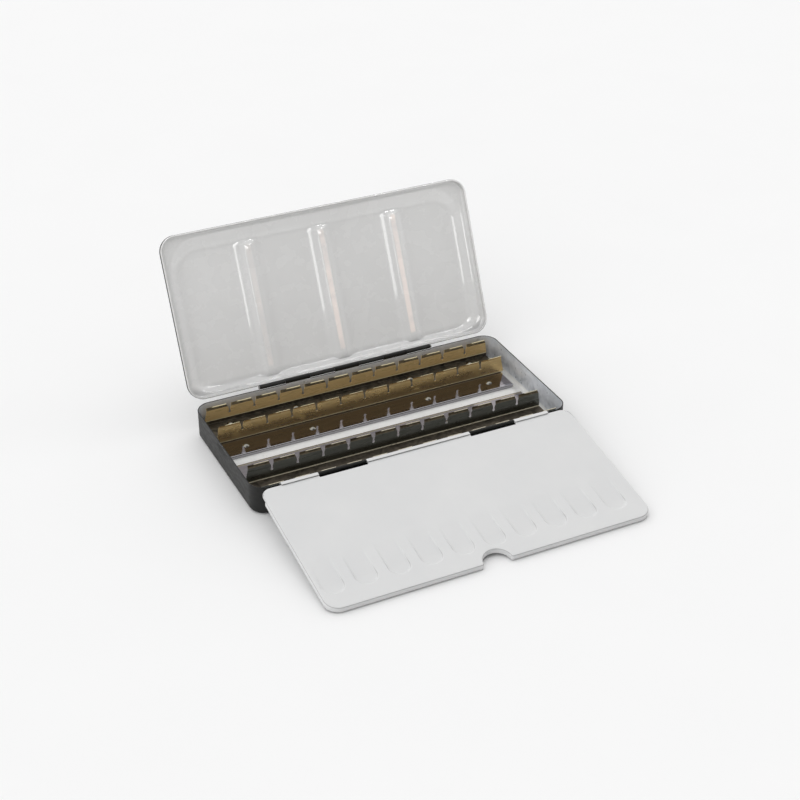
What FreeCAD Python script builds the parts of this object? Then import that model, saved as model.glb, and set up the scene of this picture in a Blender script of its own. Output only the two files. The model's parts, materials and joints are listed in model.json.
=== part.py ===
"""Empty enamelled metal watercolour box for 24 half pans.

Millimetres. +X runs along the box, +Y towards the lid hinge, +Z up.
The origin is the centre of the box's footprint, on the table plane.
The model stands as it is used: lid open, mixing palette folded out to the front.
"""
import FreeCAD, Part
import math
import os

from FreeCAD import Vector

# Box shell
BOX_LENGTH = 208.0
BOX_DEPTH = 102.0
TRAY_HEIGHT = 18.8
SHEET = 0.6
CORNER_RADIUS = 9.5
EDGE_RADIUS = 2.4
FLOOR_RAISE = 2.2
FOOT_WIDTH = 7.0
CATCH_LENGTH = 19.0
CATCH_HEIGHT = 3.2
CATCH_DEPTH = 0.9
CATCH_Z = 15.4

# Mixing palette
PALETTE_SHEET = 0.5
PALETTE_WIDTH = 203.0
PALETTE_REACH = 101.0
PALETTE_LIP = 3.5
PALETTE_CORNER = 8.5
PALETTE_BACK_CORNER = 6.5
PALETTE_LIP_START = 10.5
PALETTE_EAR_SETBACK = 1.3
PALETTE_DROOP_DEG = 8.9
THUMB_NOTCH_RADIUS = 8.7
WELL_COUNT = 10
WELL_PITCH = 19.75
WELL_WIDTH = 14.0
WELL_LENGTH = 24.0
WELL_DEPTH = 0.9
WELL_EDGE_GAP = 10.5
WELL_ROW_SHIFT = -3.3

# Hinges
FRONT_KNUCKLE_RADIUS = 1.05
FRONT_PIN_RADIUS = 0.45
FRONT_KNUCKLE_ENDS = (-88.0, -64.5, -34.0, 34.0, 64.5, 88.0)
REAR_KNUCKLE_RADIUS = 1.35
REAR_PIN_RADIUS = 0.65
REAR_KNUCKLE_COUNT = 7
REAR_HINGE_LENGTH = 119.6
RUNNING_GAP = 0.07
KNUCKLE_GAP = 0.15
PIN_HEAD = 0.6
PIN_HEAD_GROWTH = 1.5
HINGE_END_ROOM = 1.0
KNUCKLE_ROOT = 2.0
NOTCH_GAP = 0.25
RIM_GAP = 0.1

# Lid
LID_OVERHANG = 0.7
LID_LAND_DEPTH = 3.9
LID_WELL_DEPTH = 3.0
LID_RIDGE_X = (-47.5, 2.2, 52.5)
LID_BORDER = 4.6
LID_RIDGE_WIDTH = 3.0
LID_WELL_SLOPE = 6.0
LID_WELL_CORNER = 9.0
LID_WELL_FLOOR_CORNER = 5.0
LID_WELL_FILLET = 1.6
LID_GAP = 0.15
LID_OPEN_DEG = 114.0

# Pan inserts, one behind and one in front, turned half a turn to each other.
# The plate of the front one reaches nearer the middle of the tray.
RAIL_SHEET = 0.4
RAIL_BEND = 0.5
TAB_COUNT = 12
TAB_PITCH = 16.5
OUTER_WALL_Y = 46.5
INNER_WALL_Y = 23.6
RAIL_TOP = 17.3
SLOT_BOTTOM = 10.6
SLOT_NECK_WIDTH = 1.2
SLOT_TOP_WIDTH = 3.8
SLOT_BULB_RADIUS = 0.9
SLOT_NECK_LENGTH = 3.2
TAB_LEAN = 0.9
TAB_FLARE = 1.1
TAB_FLARE_DEPTH = 1.6
END_TAB_SLOPE = 1.8
END_SLOPE_BELOW_SLOT = 3.0
BASE_TOP = 5.0
REAR_BASE_EDGE = 6.8
FRONT_BASE_EDGE = 2.9
BASE_OUTER_SETBACK = 0.6
BASE_HALF_LENGTH = 98.0
GUTTER_RIVET_Y = 15.0
RAIL_RIVET_Y = 41.5
RIVET_X = (-84.0, -40.0, 40.0, 84.0)
RIVET_HEAD_RADIUS = 2.2
RIVET_HEAD_HEIGHT = 1.1
RIVET_SHANK_RADIUS = 1.1
RIVET_FOOT_RADIUS = 2.0
FIT = 0.05

# Worked out from the sizes above
HALF_LENGTH = BOX_LENGTH / 2
HALF_DEPTH = BOX_DEPTH / 2
FLOOR_TOP = FLOOR_RAISE + SHEET
PALETTE_AXIS_Y = -(HALF_DEPTH - SHEET + FRONT_KNUCKLE_RADIUS + FIT)
PALETTE_AXIS_Z = TRAY_HEIGHT + RIM_GAP + PALETTE_SHEET / 2
LID_RIM_Z = PALETTE_AXIS_Z + FRONT_KNUCKLE_RADIUS + LID_GAP
LID_AXIS_Y = HALF_DEPTH - SHEET + REAR_KNUCKLE_RADIUS + FIT
LID_AXIS_Z = (TRAY_HEIGHT + LID_RIM_Z) / 2
X_AXIS = Vector(1, 0, 0)
BIG = 50.0
TRIM_REACH = 150.0
RIVET_HOLE_LENGTH = 12.0
WALL_CUT_DEPTH = 3.0


def box(x0, x1, y0, y1, z0, z1):
    return Part.makeBox(x1 - x0, y1 - y0, z1 - z0, Vector(x0, y0, z0))


def x_cylinder(radius, x0, x1, y, z):
    return Part.makeCylinder(radius, x1 - x0, Vector(x0, y, z), X_AXIS)


def outline_with_corners(corners, z):
    """A closed horizontal outline. Each corner is (centre x, centre y, radius, start angle)."""
    arcs = []
    for cx, cy, radius, start in corners:
        points = []
        for turn in (0.0, 45.0, 90.0):
            angle = math.radians(start + turn)
            points.append(Vector(cx + radius * math.cos(angle), cy + radius * math.sin(angle), z))
        arcs.append(points)
    edges = []
    for this, following in zip(arcs, arcs[1:] + arcs[:1]):
        edges.append(Part.Arc(*this).toShape())
        edges.append(Part.makeLine(this[-1], following[0]))
    return Part.Wire(edges)


def rounded_outline(x0, x1, y0, y1, radius, z):
    """A horizontal rectangle with four equal round corners."""
    return outline_with_corners((
        (x1 - radius, y0 + radius, radius, -90.0),
        (x1 - radius, y1 - radius, radius, 0.0),
        (x0 + radius, y1 - radius, radius, 90.0),
        (x0 + radius, y0 + radius, radius, 180.0),
    ), z)


def rounded_block(x0, x1, y0, y1, radius, z0, z1):
    face = Part.Face(rounded_outline(x0, x1, y0, y1, radius, z0))
    return face.extrude(Vector(0, 0, z1 - z0))


def edges_at(shape, z):
    """The edges that lie flat at one height."""
    found = []
    for edge in shape.Edges:
        limits = edge.BoundBox
        if abs(limits.ZMin - z) < 1e-4 and abs(limits.ZMax - z) < 1e-4:
            found.append(edge)
    return found


def pressed_pan(x0, x1, y0, y1, corner, z0, z1, edge_radius, rounded_z):
    """A rounded block whose edge at one end is rolled over."""
    block = rounded_block(x0, x1, y0, y1, corner, z0, z1)
    return block.makeFillet(edge_radius, edges_at(block, rounded_z))


def sheet_section(points, bend, thickness, x0, x1):
    """A folded sheet of constant thickness. points are (y, z) on its middle line."""
    vertices = [Vector(x0, y, z) for y, z in points]
    edges = []
    start = vertices[0]
    for before, corner, after in zip(vertices, vertices[1:], vertices[2:]):
        to_before = (before - corner).normalize()
        to_after = (after - corner).normalize()
        half = to_before.getAngle(to_after) / 2
        reach = bend / math.tan(half)
        bisector = (to_before + to_after).normalize()
        middle = corner + bisector * (bend / math.sin(half) - bend)
        enter = corner + to_before * reach
        leave = corner + to_after * reach
        edges.append(Part.makeLine(start, enter))
        edges.append(Part.Arc(enter, middle, leave).toShape())
        start = leave
    edges.append(Part.makeLine(start, vertices[-1]))
    outline = Part.Wire(edges).makeOffset2D(thickness / 2, 0, False, False, False)
    return Part.Face(outline).extrude(Vector(x1 - x0, 0, 0))


def save(shape, node):
    shape.exportStep(os.path.join("parts", node + ".step"))


def rear_knuckles():
    """(start, end) of each rear knuckle: the lid's are the first, third and so on."""
    width = REAR_HINGE_LENGTH / REAR_KNUCKLE_COUNT
    starts = [-REAR_HINGE_LENGTH / 2 + width * index for index in range(REAR_KNUCKLE_COUNT)]
    return [(start, start + width) for start in starts]


def front_knuckles():
    return list(zip(FRONT_KNUCKLE_ENDS, FRONT_KNUCKLE_ENDS[1:]))


def rear_knuckle(start, end, toward_z):
    """A rolled knuckle and the strip of wall that it is rolled from."""
    inner_y = HALF_DEPTH - SHEET
    roll = x_cylinder(REAR_KNUCKLE_RADIUS, start, end, LID_AXIS_Y, LID_AXIS_Z)
    low, high = sorted((LID_AXIS_Z, toward_z))
    return roll.fuse(box(start, end, inner_y, HALF_DEPTH, low, high))


def front_knuckle(start, end):
    roll = x_cylinder(FRONT_KNUCKLE_RADIUS, start, end, PALETTE_AXIS_Y, PALETTE_AXIS_Z)
    neck = box(start, end, -HALF_DEPTH, -HALF_DEPTH + SHEET, TRAY_HEIGHT - KNUCKLE_ROOT,
               PALETTE_AXIS_Z)
    return roll.fuse(neck)


def pin_hole(radius, length, y, z):
    return x_cylinder(radius + RUNNING_GAP, -length / 2 - 1, length / 2 + 1, y, z)


def hinge_pin(radius, length, y, z):
    """A wire pin with a peened head at each end."""
    reach = length / 2 + PIN_HEAD
    head_radius = radius * PIN_HEAD_GROWTH
    pin = x_cylinder(radius, -reach, reach, y, z)
    for start in (-reach, reach - PIN_HEAD):
        pin = pin.fuse(x_cylinder(head_radius, start, start + PIN_HEAD, y, z))
    return pin.removeSplitter()


def catch_bump(side):
    """A lens pressed into an end wall, which the closed lid clicks over."""
    lens = Part.makeSphere(1.0)
    matrix = FreeCAD.Matrix()
    matrix.scale(CATCH_DEPTH + SHEET, CATCH_LENGTH / 2, CATCH_HEIGHT / 2)
    lens = lens.transformGeometry(matrix)
    lens.translate(Vector(side * HALF_LENGTH, 0, CATCH_Z))
    return lens


def tray_body():
    """The drawn tin: round lower edge, and a raised bottom panel inside a standing border."""
    outer = pressed_pan(-HALF_LENGTH, HALF_LENGTH, -HALF_DEPTH, HALF_DEPTH, CORNER_RADIUS,
                        0, TRAY_HEIGHT, EDGE_RADIUS, 0)
    inset = FOOT_WIDTH
    recess = rounded_block(-HALF_LENGTH + inset, HALF_LENGTH - inset, -HALF_DEPTH + inset,
                           HALF_DEPTH - inset, CORNER_RADIUS, -1, FLOOR_RAISE)
    wall = SHEET
    cavity = pressed_pan(-HALF_LENGTH + wall, HALF_LENGTH - wall, -HALF_DEPTH + wall,
                         HALF_DEPTH - wall, CORNER_RADIUS - wall, wall, TRAY_HEIGHT + 1,
                         EDGE_RADIUS - wall, wall)
    inset = FOOT_WIDTH - wall
    panel = rounded_block(-HALF_LENGTH + inset, HALF_LENGTH - inset, -HALF_DEPTH + inset,
                          HALF_DEPTH - inset, CORNER_RADIUS + wall, wall / 2, FLOOR_TOP)
    shell = outer.cut(cavity.cut(panel)).cut(recess)
    for side in (-1, 1):
        bump = catch_bump(side)
        hollow = bump.copy()
        hollow.translate(Vector(side * SHEET, 0, 0))
        shell = shell.fuse(bump.common(outer)).cut(hollow)
    return shell


def with_rear_knuckles(shell):
    for index, (start, end) in enumerate(rear_knuckles()):
        if index % 2:
            shell = shell.fuse(rear_knuckle(start + KNUCKLE_GAP, end - KNUCKLE_GAP,
                                            TRAY_HEIGHT - KNUCKLE_ROOT))
        else:
            floor = LID_AXIS_Z - REAR_KNUCKLE_RADIUS - NOTCH_GAP
            shell = shell.cut(box(start - KNUCKLE_GAP, end + KNUCKLE_GAP, HALF_DEPTH - 1,
                                  HALF_DEPTH + 1, floor, BIG))
    return shell.cut(pin_hole(REAR_PIN_RADIUS, REAR_HINGE_LENGTH, LID_AXIS_Y, LID_AXIS_Z))


def with_front_knuckles(shell):
    front_end = FRONT_KNUCKLE_ENDS[-1]
    floor = PALETTE_AXIS_Z - FRONT_KNUCKLE_RADIUS - NOTCH_GAP
    notches = [(-front_end - HINGE_END_ROOM, -front_end), (front_end, front_end + HINGE_END_ROOM)]
    for index, (start, end) in enumerate(front_knuckles()):
        if index % 2:
            shell = shell.fuse(front_knuckle(start + KNUCKLE_GAP, end - KNUCKLE_GAP))
        else:
            notches.append((start - KNUCKLE_GAP, end + KNUCKLE_GAP))
    for start, end in notches:
        shell = shell.cut(box(start, end, -HALF_DEPTH - 1, -HALF_DEPTH + 1, floor, BIG))
    return shell.cut(pin_hole(FRONT_PIN_RADIUS, front_end * 2, PALETTE_AXIS_Y, PALETTE_AXIS_Z))


def tray_shell():
    return with_front_knuckles(with_rear_knuckles(tray_body())).removeSplitter()


def lid_wells(grow, land_z):
    """Tapered mixing wells above the lid's land. grow makes the pressed outside of the sheet."""
    end = HALF_LENGTH + LID_OVERHANG - SHEET - LID_BORDER
    half_ridge = LID_RIDGE_WIDTH / 2
    low_y = -HALF_DEPTH - LID_OVERHANG + SHEET + LID_BORDER - grow
    high_y = HALF_DEPTH - SHEET - LID_BORDER + grow
    top = land_z + LID_WELL_DEPTH + grow
    lefts = [-end] + [x + half_ridge for x in LID_RIDGE_X]
    rights = [x - half_ridge for x in LID_RIDGE_X] + [end]
    wells = []
    for left, right in zip(lefts, rights):
        left -= grow
        right += grow
        mouth = rounded_outline(left, right, low_y, high_y, LID_WELL_CORNER + grow, land_z - 0.3)
        slope = LID_WELL_SLOPE
        floor = rounded_outline(left + slope, right - slope, low_y + slope, high_y - slope,
                                LID_WELL_FLOOR_CORNER + grow, top)
        well = Part.makeLoft([mouth, floor], True, True)
        wells.append(well.makeFillet(LID_WELL_FILLET + grow, edges_at(well, top)))
    return wells


def lid_shell():
    """The lid, made closed and then opened about its hinge."""
    x = HALF_LENGTH + LID_OVERHANG
    front = -HALF_DEPTH - LID_OVERHANG
    land_z = LID_RIM_Z + LID_LAND_DEPTH
    skin = pressed_pan(-x, x, front, HALF_DEPTH, CORNER_RADIUS + LID_OVERHANG, LID_RIM_Z,
                       land_z + SHEET, EDGE_RADIUS, land_z + SHEET)
    cavity = pressed_pan(-x + SHEET, x - SHEET, front + SHEET, HALF_DEPTH - SHEET,
                         CORNER_RADIUS + LID_OVERHANG - SHEET, LID_RIM_Z - 1, land_z,
                         EDGE_RADIUS - SHEET, land_z)
    for well in lid_wells(SHEET, land_z):
        skin = skin.fuse(well)
    shell = skin.cut(cavity)
    for well in lid_wells(0.0, land_z):
        shell = shell.cut(well)
    for index, (start, end) in enumerate(rear_knuckles()):
        if index % 2:
            ceiling = LID_AXIS_Z + REAR_KNUCKLE_RADIUS + NOTCH_GAP
            shell = shell.cut(box(start - KNUCKLE_GAP, end + KNUCKLE_GAP, HALF_DEPTH - 1,
                                  HALF_DEPTH + 1, LID_RIM_Z - 1, ceiling))
        else:
            shell = shell.fuse(rear_knuckle(start + KNUCKLE_GAP, end - KNUCKLE_GAP,
                                            LID_RIM_Z + 1.0))
    shell = shell.cut(pin_hole(REAR_PIN_RADIUS, REAR_HINGE_LENGTH, LID_AXIS_Y, LID_AXIS_Z))
    shell = shell.removeSplitter()
    shell.rotate(Vector(0, LID_AXIS_Y, LID_AXIS_Z), X_AXIS, -LID_OPEN_DEG)
    return shell


def palette_block(shrink, z0, z1):
    """The leaf's outline as a block. Its free edge is away from the hinge, at -Y."""
    half = PALETTE_WIDTH / 2 - shrink
    far = PALETTE_AXIS_Y - PALETTE_REACH + shrink
    front = PALETTE_CORNER - shrink
    back = PALETTE_BACK_CORNER - shrink
    outline = outline_with_corners((
        (half - front, far + front, front, -90.0),
        (half - back, PALETTE_AXIS_Y - back, back, 0.0),
        (-half + back, PALETTE_AXIS_Y - back, back, 90.0),
        (-half + front, far + front, front, 180.0),
    ), z0)
    return Part.Face(outline).extrude(Vector(0, 0, z1 - z0))


def thumb_notch(grow, z0, z1):
    far = PALETTE_AXIS_Y - PALETTE_REACH
    centre = Vector(0, far - 0.5, z0)
    return Part.makeCylinder(THUMB_NOTCH_RADIUS + grow, z1 - z0, centre)


def palette_well(x, top, grow):
    """A thumb-shaped hollow, deepest at its round free end and running out towards the hinge."""
    half_width = WELL_WIDTH / 2
    radius = (half_width ** 2 + WELL_DEPTH ** 2) / (2 * WELL_DEPTH)
    run = WELL_LENGTH - half_width
    y = PALETTE_AXIS_Y - PALETTE_REACH + WELL_EDGE_GAP + half_width
    centre = Vector(x, y, top - WELL_DEPTH + radius)
    ball = Part.makeSphere(radius + grow, centre)
    rising = Vector(0, run, WELL_DEPTH)
    return ball.fuse(Part.makeCylinder(radius + grow, run * 1.5, centre, rising))


def palette_tray_form(top):
    """The leaf before its hollows and knuckles: a flat sheet with a turned-down lip."""
    under = top - PALETTE_SHEET
    lip_end = top - PALETTE_LIP
    half = PALETTE_WIDTH / 2
    block = palette_block(0.0, lip_end, top).cut(thumb_notch(0.0, lip_end - 1, top + 1))
    hollow = palette_block(PALETTE_SHEET, lip_end - 1, under)
    hollow = hollow.cut(thumb_notch(PALETTE_SHEET, lip_end - 2, top))
    hinge_side = box(-half - 1, half + 1, PALETTE_AXIS_Y - PALETTE_LIP_START,
                     PALETTE_AXIS_Y + 5, lip_end - 1, under)
    return block.cut(hollow).cut(hinge_side)


def with_palette_wells(leaf, top):
    under = top - PALETTE_SHEET
    half = PALETTE_WIDTH / 2
    below = box(-half, half, PALETTE_AXIS_Y - PALETTE_REACH, PALETTE_AXIS_Y,
                top - PALETTE_LIP, under)
    first = WELL_ROW_SHIFT - WELL_PITCH * (WELL_COUNT - 1) / 2
    for index in range(WELL_COUNT):
        x = first + WELL_PITCH * index
        skin = palette_well(x, top, PALETTE_SHEET).common(below)
        leaf = leaf.fuse(skin).cut(palette_well(x, top, 0.0))
    return leaf


def with_palette_knuckles(leaf, top):
    under = top - PALETTE_SHEET
    half = PALETTE_WIDTH / 2
    outside = FRONT_KNUCKLE_ENDS[-1]
    clear = FRONT_KNUCKLE_RADIUS + NOTCH_GAP
    for index, (start, end) in enumerate(front_knuckles()):
        if index % 2:
            leaf = leaf.cut(box(start - KNUCKLE_GAP, end + KNUCKLE_GAP, PALETTE_AXIS_Y - clear,
                                PALETTE_AXIS_Y + clear, under - 1, top + 1))
        else:
            leaf = leaf.fuse(x_cylinder(FRONT_KNUCKLE_RADIUS, start + KNUCKLE_GAP,
                                        end - KNUCKLE_GAP, PALETTE_AXIS_Y, PALETTE_AXIS_Z))
    for low, high in ((-half - 1, -outside), (outside, half + 1)):
        leaf = leaf.cut(box(low, high, PALETTE_AXIS_Y - PALETTE_EAR_SETBACK,
                            PALETTE_AXIS_Y + 1, under - 1, top + 1))
    return leaf.cut(pin_hole(FRONT_PIN_RADIUS, outside * 2, PALETTE_AXIS_Y, PALETTE_AXIS_Z))


def mixing_palette():
    """The palette leaf, made level and then lowered until its lip rests on the table."""
    top = PALETTE_AXIS_Z + PALETTE_SHEET / 2
    leaf = with_palette_wells(palette_tray_form(top), top)
    leaf = with_palette_knuckles(leaf, top).removeSplitter()
    leaf.rotate(Vector(0, PALETTE_AXIS_Y, PALETTE_AXIS_Z), X_AXIS, PALETTE_DROOP_DEG)
    return leaf


def rail_path():
    """Middle line of the rear rail: two sprung walls with flared lips, joined by a floor."""
    floor = BASE_TOP + FIT + RAIL_SHEET / 2
    lip_z = RAIL_TOP - RAIL_SHEET / 2
    neck_z = RAIL_TOP - TAB_FLARE_DEPTH
    return (
        (OUTER_WALL_Y - TAB_LEAN + TAB_FLARE, lip_z),
        (OUTER_WALL_Y - TAB_LEAN, neck_z),
        (OUTER_WALL_Y, floor),
        (INNER_WALL_Y, floor),
        (INNER_WALL_Y + TAB_LEAN, neck_z),
        (INNER_WALL_Y + TAB_LEAN - TAB_FLARE, lip_z),
    )


def wall_cutter(outline, y):
    """A cutter right through one upright wall of the rail. outline is (x, z)."""
    points = [Vector(x, y - WALL_CUT_DEPTH, z) for x, z in outline + outline[:1]]
    return Part.Face(Part.makePolygon(points)).extrude(Vector(0, 2 * WALL_CUT_DEPTH, 0))


def tab_slot(x, y):
    """The gap between two spring tabs: a V, a narrow neck and a round relief hole."""
    neck = SLOT_NECK_WIDTH / 2
    top = SLOT_TOP_WIDTH / 2
    bulb_z = SLOT_BOTTOM + SLOT_BULB_RADIUS
    neck_z = SLOT_BOTTOM + SLOT_NECK_LENGTH
    above = RAIL_TOP + 1
    gap = wall_cutter(((x - neck, bulb_z), (x + neck, bulb_z), (x + neck, neck_z),
                       (x + top, above), (x - top, above), (x - neck, neck_z)), y)
    bulb = Part.makeCylinder(SLOT_BULB_RADIUS, 2 * WALL_CUT_DEPTH,
                             Vector(x, y - WALL_CUT_DEPTH, bulb_z), Vector(0, 1, 0))
    return gap.fuse(bulb)


def end_slope(side, y):
    """The sloping cut that narrows the last tab at each end of a wall."""
    edge = side * TAB_COUNT * TAB_PITCH / 2
    beyond = edge + side
    above = RAIL_TOP + 1
    low = SLOT_BOTTOM - END_SLOPE_BELOW_SLOT
    return wall_cutter(((edge - side * END_TAB_SLOPE, above), (beyond, above), (beyond, low),
                        (edge, low)), y)


def rivet_holes(y):
    return [Part.makeCylinder(RIVET_SHANK_RADIUS + FIT, RIVET_HOLE_LENGTH, Vector(x, y, 0))
            for x in RIVET_X]


def pan_rail():
    half = TAB_COUNT * TAB_PITCH / 2
    rail = sheet_section(rail_path(), RAIL_BEND, RAIL_SHEET, -half, half)
    for y in (OUTER_WALL_Y, INNER_WALL_Y):
        cutters = [tab_slot(TAB_PITCH * (index - TAB_COUNT / 2), y) for index in range(1, TAB_COUNT)]
        cutters += [end_slope(side, y) for side in (-1, 1)]
        rail = rail.cut(cutters)
    return rail.cut(rivet_holes(RAIL_RIVET_Y))


def insert_base(inner_edge):
    """A plate that carries the rail. Its two long edges are turned down to the tray floor."""
    middle = BASE_TOP - RAIL_SHEET / 2
    foot = FLOOR_TOP + FIT
    outer = OUTER_WALL_Y - BASE_OUTER_SETBACK
    path = ((inner_edge, foot), (inner_edge, middle), (outer, middle), (outer, foot))
    plate = sheet_section(path, RAIL_BEND, RAIL_SHEET, -BASE_HALF_LENGTH, BASE_HALF_LENGTH)
    trim = box(-TRIM_REACH, TRIM_REACH, 0, HALF_DEPTH, FLOOR_TOP - 2, foot)
    return plate.cut(trim).cut(rivet_holes(GUTTER_RIVET_Y) + rivet_holes(RAIL_RIVET_Y))


def rivet(x, y, seat_z):
    """A dome-headed foot rivet that stands on the tray floor."""
    radius = (RIVET_HEAD_RADIUS ** 2 + RIVET_HEAD_HEIGHT ** 2) / (2 * RIVET_HEAD_HEIGHT)
    ball = Part.makeSphere(radius, Vector(x, y, seat_z + RIVET_HEAD_HEIGHT - radius))
    cap = ball.common(Part.makeCylinder(RIVET_HEAD_RADIUS + 1, 5, Vector(x, y, seat_z)))
    foot_z = FLOOR_TOP + FIT
    foot_top = BASE_TOP - RAIL_SHEET - FIT
    shank = Part.makeCylinder(RIVET_SHANK_RADIUS, seat_z - foot_z, Vector(x, y, foot_z))
    foot = Part.makeCylinder(RIVET_FOOT_RADIUS, foot_top - foot_z, Vector(x, y, foot_z))
    return cap.fuse(shank).fuse(foot).removeSplitter()


def rivet_row(y, seat_z):
    return Part.makeCompound([rivet(x, y, seat_z) for x in RIVET_X])


def turned(shape):
    """The same piece turned half a turn about the box's upright axis."""
    copy = shape.copy()
    copy.rotate(Vector(0, 0, 0), Vector(0, 0, 1), 180)
    return copy


def main():
    os.makedirs("parts", exist_ok=True)
    save(tray_shell(), "tray_shell")
    save(lid_shell(), "lid_shell")
    save(mixing_palette(), "mixing_palette")
    save(hinge_pin(REAR_PIN_RADIUS, REAR_HINGE_LENGTH, LID_AXIS_Y, LID_AXIS_Z), "lid_hinge_pin")
    front_length = FRONT_KNUCKLE_ENDS[-1] * 2
    save(hinge_pin(FRONT_PIN_RADIUS, front_length, PALETTE_AXIS_Y, PALETTE_AXIS_Z),
         "palette_hinge_pin")
    rail_seat = BASE_TOP + FIT + RAIL_SHEET + FIT
    pieces = {
        "pan_rail": pan_rail(),
        "rail_rivets": rivet_row(RAIL_RIVET_Y, rail_seat),
        "gutter_rivets": rivet_row(GUTTER_RIVET_Y, BASE_TOP + FIT),
    }
    for name, shape in pieces.items():
        save(shape, "rear_" + name)
        save(turned(shape), "front_" + name)
    save(insert_base(REAR_BASE_EDGE), "rear_insert_base")
    save(turned(insert_base(FRONT_BASE_EDGE)), "front_insert_base")


main()
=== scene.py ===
"""Looks for the empty enamelled tin watercolour box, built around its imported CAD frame.

Lengths are millimetres in the CAD's own frame, and MM turns them into Blender's metres.
"""
import json
import math

import bpy
import numpy as np
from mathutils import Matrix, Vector


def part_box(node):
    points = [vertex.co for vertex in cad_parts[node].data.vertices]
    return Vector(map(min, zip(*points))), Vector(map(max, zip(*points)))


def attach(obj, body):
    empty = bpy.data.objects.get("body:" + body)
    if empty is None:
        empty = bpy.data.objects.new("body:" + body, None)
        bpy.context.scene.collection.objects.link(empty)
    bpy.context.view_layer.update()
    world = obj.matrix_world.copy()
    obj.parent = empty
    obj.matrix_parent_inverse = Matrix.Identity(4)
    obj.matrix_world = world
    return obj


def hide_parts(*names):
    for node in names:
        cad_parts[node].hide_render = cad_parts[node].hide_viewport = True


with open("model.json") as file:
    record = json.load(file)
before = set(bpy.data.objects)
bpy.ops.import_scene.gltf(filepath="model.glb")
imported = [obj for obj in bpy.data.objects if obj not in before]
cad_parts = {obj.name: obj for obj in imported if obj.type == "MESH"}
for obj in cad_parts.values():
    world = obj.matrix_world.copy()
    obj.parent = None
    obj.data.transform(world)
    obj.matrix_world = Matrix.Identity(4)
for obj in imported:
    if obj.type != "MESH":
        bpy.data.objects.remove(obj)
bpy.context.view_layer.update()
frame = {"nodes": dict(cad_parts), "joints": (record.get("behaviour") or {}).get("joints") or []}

MM = 0.001

# How finely curves are cut up
ARC_STEPS = 8
RIM_STEPS = 5
ROLL_STEPS = 26
GRID_RELAX_REACH = 22.0
GRID_END_GAP = 0.5
NOTCH_CUT_ROOM = 0.3
NOTCH_CUT_STEP = 0.12

# Tray and lid sheet
SHEET = 0.6
HEM = 0.5
HEM_HEIGHT = 1.1
HEM_FOLD = ((0.6, 0.05), (1.0, 0.35))
EDGE_RADIUS = 2.4
CORNER_RADIUS = 9.5
OVERHANG = 0.7
FLOOR_RAISE = 2.2
FOOT_WIDTH = 7.0
FOOT_STEP = 1.2
CATCH_LENGTH = 19.0
CATCH_HEIGHT = 3.6
CATCH_DEPTH = 0.9
CATCH_Z = 15.2
TRAY_END_FROM = 95.0
TRAY_FRONT_GAP = 0.05

# Lid basin and its three ribs; distances along the lid are from the hinge axis
LAND_DEPTH = 3.9
BASIN_DEPTH = 3.0
BASIN_SIDE_SLOPE = 12.5
BASIN_FAR_SLOPE = 13.5
BASIN_HINGE_SLOPE = 5.2
BASIN_BORDER = 1.2
BASIN_HINGE_BORDER = 0.72
BASIN_CORNER_SHARE = 0.45
BASIN_ROUNDS = (0.25, 0.5)
RIB_X = (-47.5, 2.2, 52.5)
RIB_HEIGHT = 1.9
RIB_TOP_WIDTH = 3.4
RIB_FLANK = 10.0
RIB_NEAR = 5.5
RIB_FAR = 88.5
RIB_END = 5.0
RIB_CREST_NEAR = 11.0
RIB_FOOT_ROUND = 0.72
RIB_TOP_ROUND = 0.14
RIB_BLEND = 0.25
KNOB_FROM_END = 2.4
KNOB_HEIGHT = 0.4
KNOB_RADIUS = 1.5
# Strength of the painted warm reflection along each rib's top, rib by rib
RIB_REFLECTION_TINT = (0.45, 1.0, 1.2)

# Palette
PALETTE_SHEET = 0.5
PALETTE_LIP = 3.5
PALETTE_CORNER = 8.5
PALETTE_BACK_CORNER = 6.5
HINGE_NOTCH_DEPTH = 1.9
PALETTE_LIP_START = 10.5
PALETTE_EDGE_RADIUS = 0.75
NOTCH_RADIUS = 8.7
NOTCH_CENTRE_OUT = 0.5
THUMB_COUNT = 10
THUMB_PITCH = 19.75
THUMB_SHIFT = -3.3
THUMB_WIDTH = 14.0
THUMB_LENGTH = 27.0
THUMB_DEPTH = 0.95
THUMB_EDGE_GAP = 10.5
THUMB_WALL = 1.2
THUMB_ROUNDS = (0.4, 0.5)

# Pan rails and insert bases, for their colouring
RAIL_END = -99.0
TAB_PITCH = 16.5
# Share of each tab's pitch whose turned top edge gets the painted highlight
LIT_TAB_SHARE = (0.34, 0.92)
CHANNEL_START = 24.2
# FOOT_TOP and BEND_LINE place painted highlight lines on the rails: the foot on the gutter side, and
# a line under each rail's bend_top
FOOT_TOP = 6.0
BEND_LINE = 0.5
PALE_WALL_FROM = 8.0
FLOOR_TOP = 3.0
FLARE_START = 15.7
EDGE_START = 16.98
REAR_BASE_EDGE = 6.8
FRONT_BASE_EDGE = 2.9
BASE_LIP_WIDTH = 1.8
BASE_LIP_GROOVE = (0.5, 0.9)
BASE_END_START = 97.3
LACQUER_SHARE = 0.85

# Hinges
REAR_KNUCKLE_RADIUS = 1.35
REAR_KNUCKLE_COUNT = 7
REAR_HINGE_LENGTH = 119.6
FRONT_KNUCKLE_RADIUS = 1.05
FRONT_KNUCKLE_ENDS = (-88.0, -64.5, -34.0, 34.0, 64.5, 88.0)
KNUCKLE_GAP = 0.15
NOTCH_GAP = 0.25
REAR_NOTCH_RISE = 0.12
ROLL_SHEET = 0.5
ROLL_SWEEP_DEG = 325.0
ROLL_BEVEL = 0.08


def joint(name):
    return next(item for item in frame["joints"] if item["name"] == name)


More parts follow.
